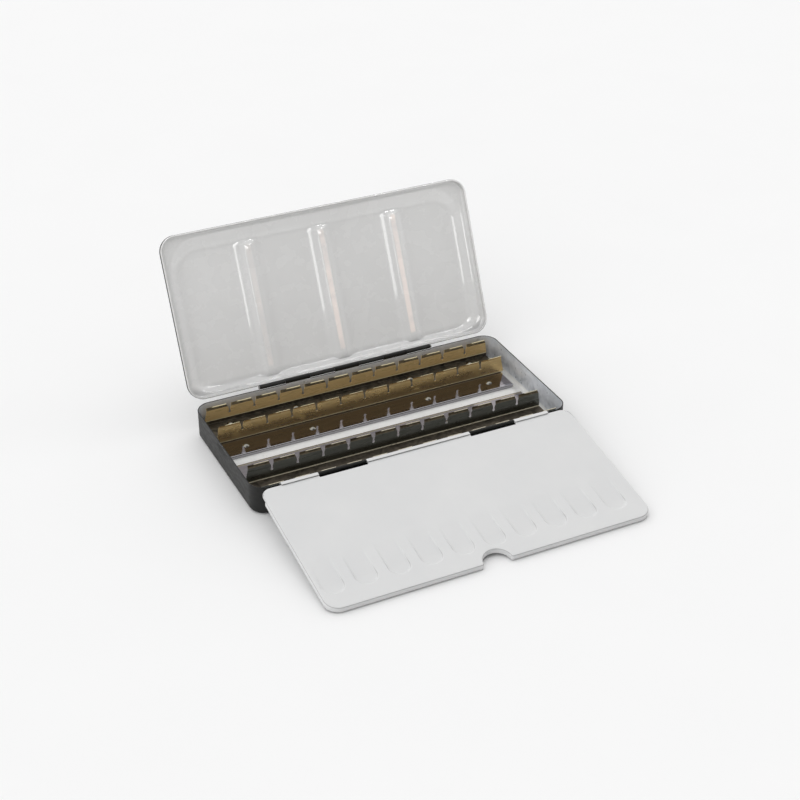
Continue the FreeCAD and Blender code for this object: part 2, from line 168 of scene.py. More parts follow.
LID_AXIS = np.array(joint("lid_hinge")["pos_m"]) / MM
LID_OPEN_DEG = joint("lid_hinge")["range_deg"][1]
PALETTE_AXIS = np.array(joint("palette_hinge")["pos_m"]) / MM
PALETTE_DROOP_DEG = joint("palette_hinge")["range_deg"][1] - 180.0


def mesh_points(mesh):
    flat = np.zeros(len(mesh.vertices) * 3)
    mesh.vertices.foreach_get("co", flat)
    return flat.reshape(-1, 3) / MM


def node_points(node):
    return mesh_points(frame["nodes"][node].data)


def turned(points, axis_point, degrees):
    """Points turned about a line along X through axis_point, by the right-hand rule."""
    angle = math.radians(degrees)
    c, s = math.cos(angle), math.sin(angle)
    moved = np.array(points, float) - axis_point
    x, y, z = moved[..., 0], moved[..., 1], moved[..., 2]
    return np.stack([x, y * c - z * s, y * s + z * c], axis=-1) + axis_point


def swing(piece, axis_point, degrees):
    """Turns a piece's mesh from where it was made to where it rests."""
    mesh = piece.data
    moved = turned(mesh_points(mesh), axis_point, degrees) * MM
    mesh.vertices.foreach_set("co", moved.reshape(-1))
    mesh.update()


# ---------------------------------------------------------------- meshes

def mesh_object(name, points, faces, face_materials, materials, smooth_angle=40.0):
    mesh = bpy.data.meshes.new(name)
    mesh.from_pydata([tuple(p) for p in np.asarray(points) * MM], [], faces)
    for material in materials:
        mesh.materials.append(material)
    mesh.polygons.foreach_set("material_index", np.array(face_materials, np.int32))
    mesh.polygons.foreach_set("use_smooth", np.ones(len(mesh.polygons), bool))
    mesh.update()
    mesh.validate()
    piece = bpy.data.objects.new(name, mesh)
    bpy.context.scene.collection.objects.link(piece)
    mesh.set_sharp_from_angle(angle=math.radians(smooth_angle))
    return piece


def graded(start, end, zones, coarse):
    """Positions from start to end, closer together inside zones of (low, high, step)."""
    places = [start]
    while places[-1] < end:
        x = places[-1]
        step = coarse
        for low, high, fine in zones:
            if low <= x <= high:
                step = min(step, fine)
            elif x < low < x + coarse:
                step = min(step, max(fine, low - x))
        places.append(x + step)
    places = np.array(places)
    return start + (places - start) * (end - start) / (places[-1] - start)


def arc(cx, cy, radius, start, end, steps=ARC_STEPS):
    angles = np.radians(np.linspace(start, end, steps + 1))
    normals = np.stack([np.cos(angles), np.sin(angles)], axis=1)
    return np.array([cx, cy]) + normals * radius, normals


def side(first, straight, normal, last):
    """One side of an outline: half a corner, the straight run and half a corner."""
    points = np.concatenate([first[0], straight, last[0]])
    normals = np.concatenate([first[1], np.tile(normal, (len(straight), 1)), last[1]])
    return points, normals


class Patch:
    """A grid over a rounded rectangle, with the outline's points and outward normals."""

    def __init__(self, x0, x1, y0, y1, radii, xs, ys, front_side=None, back_side=None):
        fl, fr, br, bl = radii
        row = lambda y: np.stack([xs, np.full(len(xs), y)], axis=1)
        column = lambda x: np.stack([np.full(len(ys), x), ys], axis=1)
        front = side(arc(x0 + fl, y0 + fl, fl, 225, 270), row(y0), (0, -1),
                     arc(x1 - fr, y0 + fr, fr, 270, 315))
        if front_side:
            front = front_side(front)
        back = side(arc(x0 + bl, y1 - bl, bl, 135, 90), row(y1), (0, 1),
                    arc(x1 - br, y1 - br, br, 90, 45))
        if back_side:
            back = back_side(back)
        left = side(arc(x0 + fl, y0 + fl, fl, 225, 180), column(x0), (-1, 0),
                    arc(x0 + bl, y1 - bl, bl, 180, 135))
        right = side(arc(x1 - fr, y0 + fr, fr, -45, 0), column(x1), (1, 0),
                     arc(x1 - br, y1 - br, br, 0, 45))
        base_x, base_y = front[0][:, 0].copy(), left[0][:, 1].copy()
        base = np.stack(np.meshgrid(base_x, base_y), axis=-1)
        pull = lambda distance: np.clip(1 - distance / GRID_RELAX_REACH, 0, 1) ** 2
        down = pull(base_y - base_y[0])[:, None, None]
        up = pull(base_y[-1] - base_y)[:, None, None]
        from_left = pull(base_x - base_x[0])[None, :, None]
        from_right = pull(base_x[-1] - base_x)[None, :, None]
        grid = base.copy()
        grid += down * (front[0] - base[0])[None]
        grid += up * (back[0] - base[-1])[None]
        grid += from_left * (left[0] - base[:, 0])[:, None]
        grid += from_right * (right[0] - base[:, -1])[:, None]
        self.grid = grid
        rows, columns = grid.shape[:2]
        index = np.arange(rows * columns).reshape(rows, columns)
        self.loop = np.concatenate([index[0], index[1:, -1], index[-1, -2::-1], index[-2:0:-1, 0]])
        self.outline = np.concatenate([front[0], right[0][1:], back[0][-2::-1], left[0][-2:0:-1]])
        self.normals = np.concatenate([front[1], right[1][1:], back[1][-2::-1], left[1][-2:0:-1]])
        a, b, c, d = index[:-1, :-1], index[:-1, 1:], index[1:, 1:], index[1:, :-1]
        self.quads = np.stack([a, b, c, d], axis=-1).reshape(-1, 4)
        self.count = rows * columns


def shell(name, patch, upper_z, lower_z, rings, materials, upper_rings):
    """A closed pressed sheet: an upper and a lower surface joined round the edge by rings.

    rings is a list of (points, z) from the upper surface's outline to the lower one's.
    The first upper_rings bands take the upper side's material and the rest the lower's.
    """
    flat = patch.grid.reshape(-1, 2)
    upper = np.column_stack([flat, upper_z.reshape(-1)])
    lower = np.column_stack([flat, lower_z.reshape(-1)])
    points = [upper, lower]
    faces = [tuple(q) for q in patch.quads]
    faces += [tuple(q[::-1] + patch.count) for q in patch.quads]
    kinds = [0] * len(patch.quads) + [1] * len(patch.quads)
    loops = [patch.loop]
    total = 2 * patch.count
    for ring_points, ring_z in rings:
        points.append(np.column_stack([ring_points, ring_z]))
        loops.append(np.arange(total, total + len(ring_points)))
        total += len(ring_points)
    loops.append(patch.loop + patch.count)
    for band, (inner, outer) in enumerate(zip(loops, loops[1:])):
        kind = 0 if band < upper_rings else 1
        for i in range(len(inner)):
            j = (i + 1) % len(inner)
            faces.append((inner[i], outer[i], outer[j], inner[j]))
            kinds.append(kind)
    return mesh_object(name, np.concatenate(points), faces, kinds, materials)


def ramp(t, low, high):
    """0 to 1 with a straight slope and a rounded start and end; low and high are their shares."""
    t = np.clip(t, 0, 1)
    slope = 1 / (1 - (low + high) / 2)
    start = slope * t ** 2 / (2 * low)
    middle = slope * (t - low / 2)
    end = 1 - slope * (1 - t) ** 2 / (2 * high)
    return np.where(t < low, start, np.where(t < 1 - high, middle, end))


def soft_max(a, b, blend):
    gap = np.clip(0.5 + (a - b) / (2 * blend), 0, 1)
    return b + (a - b) * gap + blend * gap * (1 - gap)


def pan_rings(patch, base, rim, direction, dent=None, hem=0.0):
    """Rings for a drawn pan, whose walls run from the surface's outline to its rim.

    direction is 1 where the base is above the rim, as on a lid, and -1 on a tray.
    hem is how far the sheet folded back inside the rim stands in from the wall.
    """
    inner_radius = EDGE_RADIUS - SHEET
    quarter = np.linspace(0, math.pi / 2, 7)[1:]
    rings = []

    def ring(offset, z):
        z = np.broadcast_to(z, (len(patch.outline),)).astype(float)
        points = patch.outline + patch.normals * offset
        if dent:
            points = points - patch.normals * dent(points, z)[:, None]
        rings.append((points, z))

    for t in quarter:
        ring(inner_radius * math.sin(t), base - direction * inner_radius * (1 - math.cos(t)))
    wall_top = base - direction * inner_radius
    half = (SHEET + hem) / 2
    wall_end = rim + direction * half
    hem_top = wall_end + direction * (HEM_HEIGHT if hem else 0)
    levels = np.linspace(0, 1, 15)[1:]
    for level in levels:
        ring(inner_radius, wall_top + (hem_top - wall_top) * level)
    if hem:
        for share, drop in HEM_FOLD:
            ring(inner_radius - hem * share, hem_top - direction * drop)
        ring(inner_radius - hem, wall_end)
    for t in np.linspace(0, math.pi, RIM_STEPS + 2)[1:-1]:
        ring(inner_radius - hem + half * (1 - math.cos(t)),
             wall_end - direction * half * math.sin(t))
    upper = len(rings)
    outer_base = base + direction * SHEET
    wall_top = outer_base - direction * EDGE_RADIUS
    for level in levels[::-1]:
        ring(EDGE_RADIUS, wall_top + (wall_end - wall_top) * level)
    for t in quarter[::-1]:
        ring(EDGE_RADIUS * math.sin(t), outer_base - direction * EDGE_RADIUS * (1 - math.cos(t)))
    return rings, upper


def notched_rim(patch, rim, notches, notch_z):
    """The rim's height at each outline point: rim, or notch_z inside a notch (x0, x1, y sign)."""
    heights = np.full(len(patch.outline), rim, float)
    for low, high, sign in notches:
        inside = (patch.outline[:, 0] > low) & (patch.outline[:, 0] < high)
        inside &= patch.normals[:, 1] * sign > 0.99
        heights[inside] = notch_z
    return heights


def notch_zones(notches):
    """Zones of fine steps round each notch end, so that the notch is cut square."""
    zones = []
    for low, high, _ in notches:
        for edge in (low, high):
            zones.append((edge - NOTCH_CUT_ROOM, edge + NOTCH_CUT_ROOM, NOTCH_CUT_STEP))
    return zones


def rear_knuckles():
    width = REAR_HINGE_LENGTH / REAR_KNUCKLE_COUNT
    first = -REAR_HINGE_LENGTH / 2
    return [(first + width * i, first + width * (i + 1)) for i in range(REAR_KNUCKLE_COUNT)]


def front_knuckles():
    return list(zip(FRONT_KNUCKLE_ENDS, FRONT_KNUCKLE_ENDS[1:]))


def grown(spans, sign):
    return [(low - KNUCKLE_GAP, high + KNUCKLE_GAP, sign) for low, high in spans]


def shrunk(spans):
    return [(low + KNUCKLE_GAP, high - KNUCKLE_GAP) for low, high in spans]


# ---------------------------------------------------------------- lid

def lid_surface(x, y, closed_low, closed_high):
    """How far the basin is pressed out of the lid's land, at points of the closed lid."""
    s = LID_AXIS[1] - y
    reach = closed_high[0] - SHEET - BASIN_BORDER
    far = LID_AXIS[1] - closed_low[1] - SHEET - BASIN_BORDER
    near = LID_AXIS[1] - closed_high[1] + SHEET + BASIN_HINGE_BORDER
    keep = BASIN_CORNER_SHARE
    side_t = np.clip(1 - (reach - np.abs(x)) * (1 - keep) / BASIN_SIDE_SLOPE, 0, 1)
    far_t = np.clip(1 - (far - s) * (1 - keep) / BASIN_FAR_SLOPE, 0, 1)
    near_t = np.clip(1 - (s - near) * (1 - keep) / BASIN_HINGE_SLOPE, 0, 1)
    mouth = np.sqrt(side_t ** 2 + np.maximum(far_t, near_t) ** 2)
    walls = 1 - ramp((1 - mouth) / (1 - keep), *BASIN_ROUNDS)
    height = BASIN_DEPTH * walls
    for rib_x in RIB_X:
        across = 1 - (np.abs(x - rib_x) - RIB_TOP_WIDTH / 2) / RIB_FLANK
        outside = np.maximum(RIB_NEAR - s, s - RIB_FAR)
        along = 1 - outside / RIB_END
        away = np.sqrt(np.clip(1 - across, 0, 1) ** 2 + np.clip(1 - along, 0, 1) ** 2)
        rib = RIB_HEIGHT * ramp(1 - away, RIB_FOOT_ROUND, RIB_TOP_ROUND)
        height = soft_max(height, rib, RIB_BLEND)
        from_knob = np.hypot(x - rib_x, s - (RIB_FAR - KNOB_FROM_END)) / KNOB_RADIUS
        height = height + KNOB_HEIGHT * np.exp(-from_knob ** 2)
    return BASIN_DEPTH - height


def make_lid(white, black):
    points = turned(node_points("lid_shell"), LID_AXIS, LID_OPEN_DEG)
    body = points[np.abs(points[:, 0]) > REAR_HINGE_LENGTH / 2 + 1]
    low, high = body.min(0), body.max(0)
    rim = low[2]
    land = rim + LAND_DEPTH
    radius = CORNER_RADIUS + OVERHANG - EDGE_RADIUS
    x0, x1 = low[0] + EDGE_RADIUS, high[0] - EDGE_RADIUS
    y0, y1 = low[1] + EDGE_RADIUS, high[1] - EDGE_RADIUS
    tray_spans = grown(rear_knuckles()[1::2], 1)
    zones = notch_zones(tray_spans)
    for rib_x in RIB_X:
        wide = RIB_TOP_WIDTH / 2 + RIB_FLANK
        zones.append((rib_x - wide, rib_x + wide, 0.7))
        zones.append((rib_x - RIB_TOP_WIDTH, rib_x + RIB_TOP_WIDTH, 0.3))
    end = radius + GRID_END_GAP
    xs = graded(x0 + end, x1 - end, zones, 1.6)
    ys = graded(y0 + end, y1 - end, [(y0, y0 + 18, 0.6), (y1 - 18, y1, 0.45)], 1.6)
    patch = Patch(x0, x1, y0, y1, (radius,) * 4, xs, ys)
    x, y = patch.grid[..., 0], patch.grid[..., 1]
    pressed = lid_surface(x, y, low, high)
    edge = lid_surface(patch.outline[:, 0], patch.outline[:, 1], low, high)
    notch_z = LID_AXIS[2] + REAR_KNUCKLE_RADIUS + NOTCH_GAP
    rims = notched_rim(patch, rim, tray_spans, notch_z)
    rings, upper = pan_rings(patch, land + edge, rims, 1, hem=HEM)
    return shell("lid_panel", patch, land + pressed, land + pressed + SHEET, rings,
                 [white, black], upper)


def roll_section(centre_y, centre_z, radius, sheet, start, sweep, tail):
    """Section of a rolled knuckle, as (y, z): an outer and an inner arc and a straight tail."""
    angles = np.radians(np.linspace(start, start + sweep, ROLL_STEPS))
    ring = lambda r: [(centre_y + r * math.cos(a), centre_z + r * math.sin(a)) for a in angles]
    outer, inner = ring(radius), ring(radius - sheet)
    tail_y, tail_z = tail
    outer.insert(0, (outer[0][0] + tail_y, outer[0][1] + tail_z))
    inner.insert(0, (inner[0][0] + tail_y, inner[0][1] + tail_z))
    return outer + inner[::-1]


def extruded(name, section, spans, material):
    """The same (y, z) section extruded along X over each span less its gaps, as one object."""
    points, faces = [], []
    for low, high in shrunk(spans):
        base = len(points)
        n = len(section)
        for x in (low, high):
            points += [(x, y, z) for y, z in section]
        for i in range(n):
            j = (i + 1) % n
            faces.append((base + i, base + j, base + n + j, base + n + i))
        half = n // 2
        for i in range(half - 1):
            near = (i, i + 1, n - 2 - i, n - 1 - i)
            faces.append(tuple(base + k for k in near[::-1]))
            faces.append(tuple(base + n + k for k in near))
    piece = mesh_object(name, points, faces, [0] * len(faces), [material], 35.0)
    soften = piece.modifiers.new("soft_edges", "BEVEL")
    soften.width = ROLL_BEVEL * MM
    soften.segments = 2
    soften.limit_method = "ANGLE"
    soften.angle_limit = math.radians(50)
    return piece


def make_lid_knuckles(black):
    section = roll_section(LID_AXIS[1], LID_AXIS[2], REAR_KNUCKLE_RADIUS, SHEET, 180,
                           ROLL_SWEEP_DEG, (0, 2.4))
    return extruded("lid_knuckles", section, rear_knuckles()[0::2], black)


# ---------------------------------------------------------------- palette

def thumb_depth(x, y, far):
    """Depth of the row of thumb-shaped hollows. Each fades out towards the hinge."""
    radius = THUMB_WIDTH / 2
    centre_y = far + THUMB_EDGE_GAP + radius
    run = THUMB_LENGTH - radius
    depth = np.zeros_like(x)
    for index in range(THUMB_COUNT):
        centre_x = THUMB_SHIFT + THUMB_PITCH * (index - (THUMB_COUNT - 1) / 2)
        away = np.hypot(x - centre_x, np.minimum(y - centre_y, 0))
        inside = ramp((radius - away) / THUMB_WALL, *THUMB_ROUNDS)
        fade = np.clip(1 - (y - centre_y) / run, 0, 1)
        depth += THUMB_DEPTH * inside * fade
    return depth


def with_notch(front, radius, y0):
    """The front side of the palette's outline with the round thumb notch let into it."""
    points, normals = front[0].copy(), front[1].copy()
    inside = (np.abs(points[:, 0]) < radius) & (np.abs(normals[:, 0]) < 0.01)
    angle = math.pi / 2 * points[inside, 0] / radius
    depth = np.maximum(radius * np.cos(angle), NOTCH_CENTRE_OUT)
    points[inside, 0] = radius * np.sin(angle)
    points[inside, 1] = y0 - NOTCH_CENTRE_OUT + depth
    normals[inside, 0] = -np.sin(angle)
    normals[inside, 1] = -np.cos(angle)
    return points, normals


def with_hinge_notches(back, spans):
    """The hinge side of the palette's outline, cut back where the tray's knuckles stand."""
    points = back[0].copy()
    for low, high in spans:
        inside = (points[:, 0] > low - KNUCKLE_GAP) & (points[:, 0] < high + KNUCKLE_GAP)
        points[inside, 1] -= HINGE_NOTCH_DEPTH
    return points, back[1]


def palette_rings(patch, top, lip):
    """Rings round the palette. lip is 1 where the edge is turned down and 0 at the hinge side."""
    outer, sheet = PALETTE_EDGE_RADIUS, PALETTE_SHEET
    inner = outer - sheet
    half = sheet / 2
    quarter = np.linspace(0, math.pi / 2, 6)[1:]
    lip_end = PALETTE_LIP - half
    rings = []

    def ring(offset, drop):
        offset = np.broadcast_to(offset, lip.shape)
        rings.append((patch.outline + patch.normals * offset[:, None], top - drop))

    for t in quarter:
        ring(outer * math.sin(t), lip * outer * (1 - math.cos(t)))
    for level in np.linspace(0, 1, 6)[1:]:
        ring(outer, lip * (outer + (lip_end - outer) * level))
    for t in np.linspace(0, math.pi, 6)[1:-1]:
        flat_drop = half * (1 - math.cos(t))
        ring(outer - lip * half * (1 - math.cos(t)),
             lip * (lip_end + half * math.sin(t)) + (1 - lip) * flat_drop)
    for level in np.linspace(0, 1, 6)[:-1]:
        ring(outer - lip * sheet, lip * (lip_end + (sheet + inner - lip_end) * level)
             + (1 - lip) * sheet)
    for t in quarter[::-1]:
        ring(lip * inner * math.sin(t) + (1 - lip) * outer * math.sin(t),
             sheet + lip * inner * (1 - math.cos(t)))
    return rings


def make_palette(white):
    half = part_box("mixing_palette")[1][0] / MM
    top = PALETTE_AXIS[2] + PALETTE_SHEET / 2
    level = turned(node_points("mixing_palette"), PALETTE_AXIS, -PALETTE_DROOP_DEG)
    far = level[:, 1].min()
    near = PALETTE_AXIS[1] - FRONT_KNUCKLE_RADIUS - NOTCH_GAP
    inset = PALETTE_EDGE_RADIUS
    front_r, back_r = PALETTE_CORNER - inset, PALETTE_BACK_CORNER - inset
    lip_start = PALETTE_AXIS[1] - PALETTE_LIP_START
    reach = NOTCH_RADIUS + inset
    first = THUMB_SHIFT - THUMB_PITCH * (THUMB_COUNT - 1) / 2
    tray_spans = front_knuckles()[1::2]
    zones = [(-reach - 1, reach + 1, 0.35)] + notch_zones(grown(tray_spans, 1))
    for index in range(THUMB_COUNT):
        for flank in (-1, 1):
            edge = first + THUMB_PITCH * index + flank * (THUMB_WIDTH / 2 - THUMB_WALL / 2)
            zones.append((edge - THUMB_WALL, edge + THUMB_WALL, 0.3))
    x_end = inset + front_r + GRID_END_GAP
    xs = graded(-half + x_end, half - x_end, zones, 1.0)
    hollow_y = far + THUMB_EDGE_GAP
    ys = graded(far + x_end, near - inset - back_r - GRID_END_GAP,
                [(hollow_y - 1, hollow_y + THUMB_WIDTH / 2, 0.35),
                 (hollow_y, hollow_y + THUMB_LENGTH, 0.7),
                 (lip_start - 0.4, lip_start + 0.4, 0.12)], 1.8)
    y0 = far + inset
    patch = Patch(-half + inset, half - inset, y0, near - inset,
                  (front_r, front_r, back_r, back_r), xs, ys,
                  lambda front: with_notch(front, reach, y0),
                  lambda back: with_hinge_notches(back, tray_spans))
    x, y = patch.grid[..., 0], patch.grid[..., 1]
    hollow = thumb_depth(x, y, far)
    lip = (patch.outline[:, 1] < lip_start).astype(float)
    rings = palette_rings(patch, top, lip)
    palette = shell("palette_leaf", patch, top - hollow, top - hollow - PALETTE_SHEET, rings,
                    [white, white], len(rings))
    palette.data.flip_normals()
    return palette


def make_palette_knuckles(white):
    section = roll_section(PALETTE_AXIS[1], PALETTE_AXIS[2], FRONT_KNUCKLE_RADIUS, ROLL_SHEET,
                           100, -330, (-1.6, 0))
    return extruded("palette_knuckles", section, front_knuckles()[0::2], white)


# ---------------------------------------------------------------- tray

def tray_floor(x, y, half_x, half_y):
    """Height of the raised bottom panel above the standing border."""
    radius = CORNER_RADIUS
    px = np.abs(x) - (half_x - FOOT_WIDTH - radius)
    py = np.abs(y) - (half_y - FOOT_WIDTH - radius)
    outside = np.hypot(np.maximum(px, 0), np.maximum(py, 0)) + np.minimum(np.maximum(px, py), 0)
    inward = radius - outside
    return FLOOR_RAISE * ramp(inward / FOOT_STEP + 0.5, 0.4, 0.4)


def catch_dent(points, z):
    """The lens pressed into each end wall, as an inward push."""
    across = points[:, 1] / (CATCH_LENGTH / 2)
    up = (z - CATCH_Z) / (CATCH_HEIGHT / 2)
    lens = np.sqrt(np.clip(1 - across ** 2 - up ** 2, 0, 1))
    return CATCH_DEPTH * lens * (np.abs(points[:, 1]) < CATCH_LENGTH / 2)


def make_tray(bare, black):
    half_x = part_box("tray_shell")[1][0] / MM
    half_y = -PALETTE_AXIS[1] - (FRONT_KNUCKLE_RADIUS - SHEET) - TRAY_FRONT_GAP
    body = node_points("tray_shell")
    rim = body[np.abs(body[:, 0]) > TRAY_END_FROM][:, 2].max()
    radius = CORNER_RADIUS - EDGE_RADIUS
    rear = grown(rear_knuckles()[0::2], 1)
    front = grown(front_knuckles()[0::2], -1)
    zones = notch_zones(rear) + notch_zones(front)
    zones += [(-half_x, -half_x + 12, 0.5), (half_x - 12, half_x, 0.5)]
    x0, y0 = -half_x + EDGE_RADIUS, -half_y + EDGE_RADIUS
    end = radius + GRID_END_GAP
    xs = graded(x0 + end, -x0 - end, zones, 3.0)
    ys = graded(y0 + end, -y0 - end,
                [(y0, y0 + 8, 0.5), (-y0 - 8, -y0, 0.5),
                 (-CATCH_LENGTH / 2 - 1, CATCH_LENGTH / 2 + 1, 0.6)], 2.0)
    patch = Patch(x0, -x0, y0, -y0, (radius,) * 4, xs, ys)
    x, y = patch.grid[..., 0], patch.grid[..., 1]
    raised = tray_floor(x, y, half_x, half_y)
    rear_z = LID_AXIS[2] - REAR_KNUCKLE_RADIUS + REAR_NOTCH_RISE
    front_z = PALETTE_AXIS[2] - FRONT_KNUCKLE_RADIUS - NOTCH_GAP
    rims = notched_rim(patch, rim, rear, rear_z)
    rims = np.minimum(rims, notched_rim(patch, rim, front, front_z))
    rings, upper = pan_rings(patch, SHEET, rims, -1, catch_dent)
    tray = shell("tray_pan", patch, raised + SHEET, raised, rings, [bare, black],
                 upper - RIM_STEPS)
    tray.data.flip_normals()
    return tray


def make_tray_knuckles(black):
    rear = roll_section(LID_AXIS[1], LID_AXIS[2], REAR_KNUCKLE_RADIUS, SHEET, 180,
                        -ROLL_SWEEP_DEG, (0, -2.2))
    front = roll_section(PALETTE_AXIS[1], PALETTE_AXIS[2], FRONT_KNUCKLE_RADIUS, ROLL_SHEET, 0,
                         ROLL_SWEEP_DEG, (0, -1.9))
    return [extruded("tray_rear_knuckles", rear, rear_knuckles()[1::2], black),
            extruded("tray_front_knuckles", front, front_knuckles()[1::2], black)]


# ---------------------------------------------------------------- materials

class Look:
    """A procedural material. Pattern sizes are in millimetres."""

    def __init__(self, name, metallic=0.0, coat=0.0):
        self.material = bpy.data.materials.new(name)
        self.material.use_nodes = True
        self.nodes = self.material.node_tree.nodes
        self.links = self.material.node_tree.links
        self.shader = self.nodes["Principled BSDF"]
        self.shader.inputs["Metallic"].default_value = metallic
        self.shader.inputs["Coat Weight"].default_value = coat
        self.place = self.nodes.new("ShaderNodeTexCoord").outputs["Object"]
        self.bumped = None

    def join(self, source, target):
        self.links.new(source, target)

    def stretched(self, stretch):
        mapping = self.nodes.new("ShaderNodeMapping")
        mapping.inputs["Scale"].default_value = stretch
        self.join(self.place, mapping.inputs["Vector"])
        return mapping.outputs["Vector"]

    def noise(self, size, detail=4.0, stretch=(1, 1, 1), distortion=0.0):
        node = self.nodes.new("ShaderNodeTexNoise")
        node.inputs["Scale"].default_value = 1 / (size * MM)
        node.inputs["Detail"].default_value = detail
        node.inputs["Distortion"].default_value = distortion
        self.join(self.stretched(stretch), node.inputs["Vector"])
        return node.outputs["Fac"]

    def levels(self, source, low, high, from_low=0.3, from_high=0.7):
        node = self.nodes.new("ShaderNodeMapRange")
        node.inputs["From Min"].default_value = from_low
        node.inputs["From Max"].default_value = from_high
        node.inputs["To Min"].default_value = low
        node.inputs["To Max"].default_value = high
        self.join(source, node.inputs["Value"])
        return node.outputs["Result"]

    def blend(self, factor, first, second):
        node = self.nodes.new("ShaderNodeMix")
        node.data_type = "RGBA"
        for socket, value in ((node.inputs[6], first), (node.inputs[7], second)):
            if hasattr(value, "links"):
                self.join(value, socket)
            else:
                socket.default_value = (*value, 1)
        self.join(factor, node.inputs[0])
        return node.outputs[2]

    def along(self, direction, offset=0.0):
        """Millimetres along a direction of the object's own frame, plus an offset."""
        dot = self.nodes.new("ShaderNodeVectorMath")
        dot.operation = "DOT_PRODUCT"
        dot.inputs[1].default_value = [part / MM for part in direction]
        self.join(self.place, dot.inputs[0])
        return self.calc("ADD", dot.outputs["Value"], offset)

    def calc(self, operation, first, second=0.0):
        node = self.nodes.new("ShaderNodeMath")
        node.operation = operation
        for socket, value in zip(node.inputs, (first, second)):
            if hasattr(value, "links"):
                self.join(value, socket)
            else:
                socket.default_value = value
        return node.outputs[0]

    def facing_up(self):
        normal = self.nodes.new("ShaderNodeTexCoord").outputs["Normal"]
        split = self.nodes.new("ShaderNodeSeparateXYZ")
        self.join(normal, split.inputs["Vector"])
        return split.outputs["Z"]

    def above(self, source, edge, soft=0.1):
        return self.levels(source, 0, 1, edge - soft, edge + soft)

    def band(self, source, low, high, soft=0.1):
        below_high = self.levels(source, 1, 0, high - soft, high + soft)
        return self.calc("MULTIPLY", self.above(source, low, soft), below_high)

    def crease_shade(self, colour, reach_mm, keep):
        """Painted shade: the colour darkened to a share of itself deep in folds and corners, found by
        ambient occlusion.
        """
        node = self.nodes.new("ShaderNodeAmbientOcclusion")
        node.inputs["Distance"].default_value = reach_mm * MM
        node.samples = 8
        open_share = self.levels(node.outputs["AO"], keep, 1, 0.25, 0.8)
        dark = self.nodes.new("ShaderNodeMix")
        dark.data_type = "RGBA"
        dark.inputs[6].default_value = (0, 0, 0, 1)
        self.join(colour, dark.inputs[7])
        self.join(open_share, dark.inputs[0])
        return dark.outputs[2]

    def colour(self, socket):
        self.join(socket, self.shader.inputs["Base Color"])

    def roughness(self, socket):
        self.join(socket, self.shader.inputs["Roughness"])

    def bump(self, height, depth_mm, strength=1.0):
        node = self.nodes.new("ShaderNodeBump")
        node.inputs["Distance"].default_value = depth_mm * MM
        node.inputs["Strength"].default_value = strength
        self.join(height, node.inputs["Height"])
        if self.bumped is not None:
            self.join(self.bumped, node.inputs["Normal"])
        self.bumped = node.outputs["Normal"]
        self.join(self.bumped, self.shader.inputs["Normal"])


def lid_enamel():
    look = Look("lid_white_enamel", coat=1.0)
    look.shader.inputs["Coat IOR"].default_value = 1.75
    look.shader.inputs["Coat Roughness"].default_value = 0.035
    cloudy = look.noise(35, 3)
    white = look.blend(cloudy, (0.71, 0.708, 0.70), (0.77, 0.768, 0.76))
    across = look.along((1, 0, 0))
    angle = math.radians(LID_OPEN_DEG)
    up = (0, -math.cos(angle), math.sin(angle))
    reach = look.along(up, -(LID_AXIS[1] * up[1] + LID_AXIS[2] * up[2]))
    ends = look.band(reach, RIB_CREST_NEAR, RIB_FAR, 1.0)
    uneven = look.levels(look.noise(16, 3), 0.35, 1.0, 0.35, 0.6)
    # Painted reflection: a warm tint along each rib's top, broken up by noise
    rib_reflection = 0.0
    for rib_x, reflection_share in zip(RIB_X, RIB_REFLECTION_TINT):
        top = look.band(across, rib_x - RIB_TOP_WIDTH / 2, rib_x + RIB_TOP_WIDTH / 2, 0.5)
        rib_reflection = look.calc("ADD", rib_reflection, look.calc("MULTIPLY", top, reflection_share))
    rib_reflection = look.calc("MULTIPLY", look.calc("MULTIPLY", rib_reflection, ends), uneven)
    painted = look.blend(rib_reflection, white, (1.0, 0.91, 0.86))
    # Painted shade: the white turns grey close to the hinge
    hinge_shade = look.levels(reach, 0.6, 0, 5.0, 9.5)
    painted = look.blend(hinge_shade, painted, (0.40, 0.40, 0.40))
    # Painted shade in the lid's folds and corners
    look.colour(look.crease_shade(painted, 2.5, 0.45))
    look.roughness(look.levels(look.noise(9, 5), 0.2, 0.32))
    look.bump(look.noise(3.2, 2), 0.02, 0.04)
    look.bump(look.noise(24, 2), 0.25, 0.06)
    return look.material


def palette_enamel():
    look = Look("palette_white_enamel", coat=0.15)
    white = look.blend(look.noise(28, 4), (0.68, 0.685, 0.69), (0.75, 0.75, 0.745))
    # Painted shade: darker where the surface turns from up to the side, along the fold of the lip
    fold_shade = look.band(look.facing_up(), 0.3, 0.72, 0.1)
    white = look.blend(look.calc("MULTIPLY", fold_shade, 0.55), white, (0.22, 0.22, 0.21))
    # Painted shade in the palette's folds and corners
    look.colour(look.crease_shade(white, 1.5, 0.5))
    look.roughness(look.levels(look.noise(6, 5), 0.34, 0.5))
    look.bump(look.noise(1.4, 3), 0.02, 0.4)
    look.bump(look.noise(30, 2), 0.3, 0.2)
    return look.material


def black_enamel():
    look = Look("black_enamel", coat=0.05)
    look.shader.inputs["Specular IOR Level"].default_value = 0.3
    specks = look.levels(look.noise(0.5, 2), 0, 1, 0.62, 0.8)
    look.colour(look.blend(specks, (0.010, 0.010, 0.009), (0.030, 0.030, 0.027)))
    look.roughness(look.levels(look.noise(5, 6, (1, 1, 3)), 0.42, 0.6))
    look.shader.inputs["Coat Roughness"].default_value = 0.25
    look.bump(look.noise(0.8, 3), 0.02, 0.5)
    return look.material


